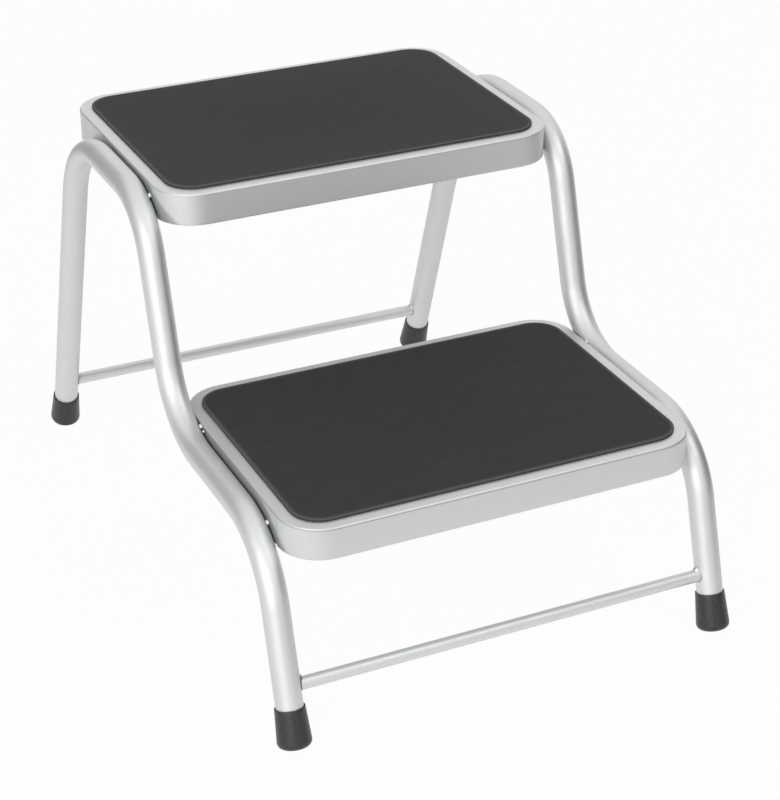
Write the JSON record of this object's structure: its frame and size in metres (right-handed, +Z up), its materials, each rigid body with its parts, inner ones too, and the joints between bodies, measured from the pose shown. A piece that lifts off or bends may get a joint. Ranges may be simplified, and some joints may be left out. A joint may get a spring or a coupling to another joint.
{
  "type": "double step stool",
  "caption": "Rigid step stool: bent round-tube side frames carry a low and a high pressed-steel tread with rubber mats, braced by crossbars and standing on rubber ferrules.",
  "frame": {"origin": "on the floor, midway between the front and the rear feet, on the plane of symmetry", "axes": "+Z up, +Y from the low front step to the high rear step, +X to the right of someone facing the stool's front"},
  "size_m": [0.4612, 0.6873, 0.4001],
  "materials": {
    "silver_paint": "satin metallic silver powder coat",
    "mat_rubber": "matt charcoal, fine grain",
    "foot_rubber": "matt dark grey moulded rubber",
    "washer_steel": "plain zinc-plated",
    "weld_steel": "weld bead under the silver coat"
  },
  "bodies": {
    "root": {"left_side_tube": "silver_paint", "right_side_tube": "silver_paint", "lower_tread_pan": "silver_paint", "upper_tread_pan": "silver_paint", "front_crossbar": "silver_paint", "rear_crossbar": "silver_paint", "lower_tread_mat": "mat_rubber", "upper_tread_mat": "mat_rubber", "front_left_foot": "foot_rubber", "front_right_foot": "foot_rubber", "rear_left_foot": "foot_rubber", "rear_right_foot": "foot_rubber", "front_left_foot_washer": "washer_steel", "front_right_foot_washer": "washer_steel", "rear_left_foot_washer": "washer_steel", "rear_right_foot_washer": "washer_steel", "lower_left_front_weld": "weld_steel", "lower_left_rear_weld": "weld_steel", "lower_right_front_weld": "weld_steel", "lower_right_rear_weld": "weld_steel", "upper_left_front_weld": "weld_steel", "upper_left_rear_weld": "weld_steel", "upper_right_front_weld": "weld_steel", "upper_right_rear_weld": "weld_steel", "front_bar_left_weld": "weld_steel", "front_bar_right_weld": "weld_steel", "rear_bar_left_weld": "weld_steel", "rear_bar_right_weld": "weld_steel"}
  },
  "joints": []
}
